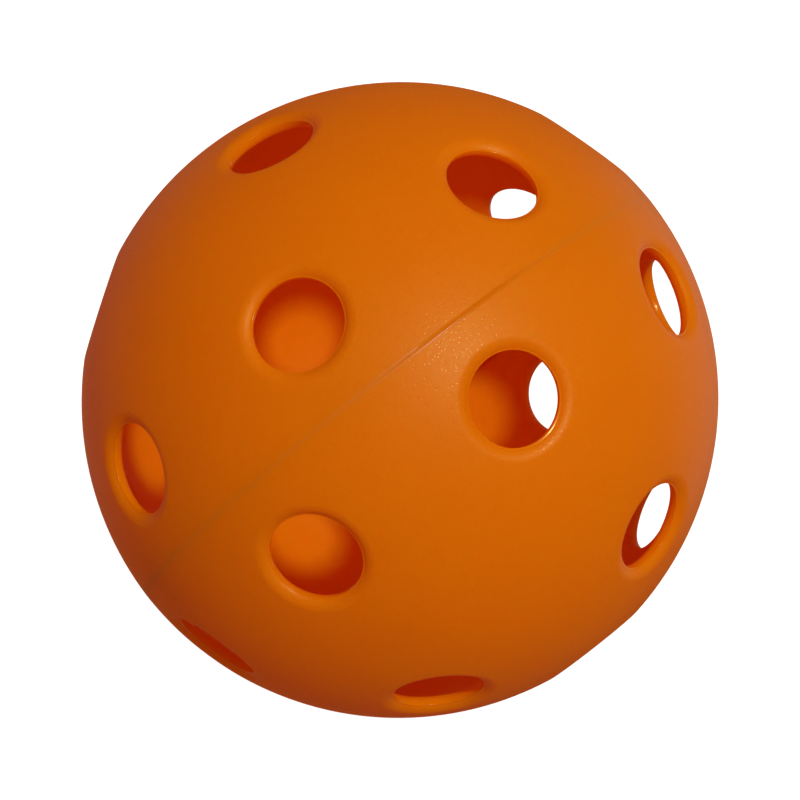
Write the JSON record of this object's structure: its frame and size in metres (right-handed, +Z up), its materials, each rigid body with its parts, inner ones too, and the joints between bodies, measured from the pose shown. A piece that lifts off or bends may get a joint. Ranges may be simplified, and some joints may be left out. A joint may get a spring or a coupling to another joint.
{
  "type": "perforated ball",
  "caption": "Hollow orange plastic sports ball with dished round holes, made of two moulded half shells fused along the equator.",
  "frame": {"origin": "middle of the ball, which is the middle of its bounding box", "axes": "+Z up as the ball lies on a surface; the line through the two pole holes leans 41.4 degrees from +Z towards 158.6 degrees from +X"},
  "size_m": [0.0736, 0.0735, 0.0736],
  "materials": {
    "shell_plastic": "satin moulded polyethylene, finely grained",
    "weld_plastic": "remelted polyethylene, smoother than the shells"
  },
  "bodies": {
    "root": {"upper_half_shell": "shell_plastic", "lower_half_shell": "shell_plastic", "weld_bead": "weld_plastic"}
  },
  "joints": []
}
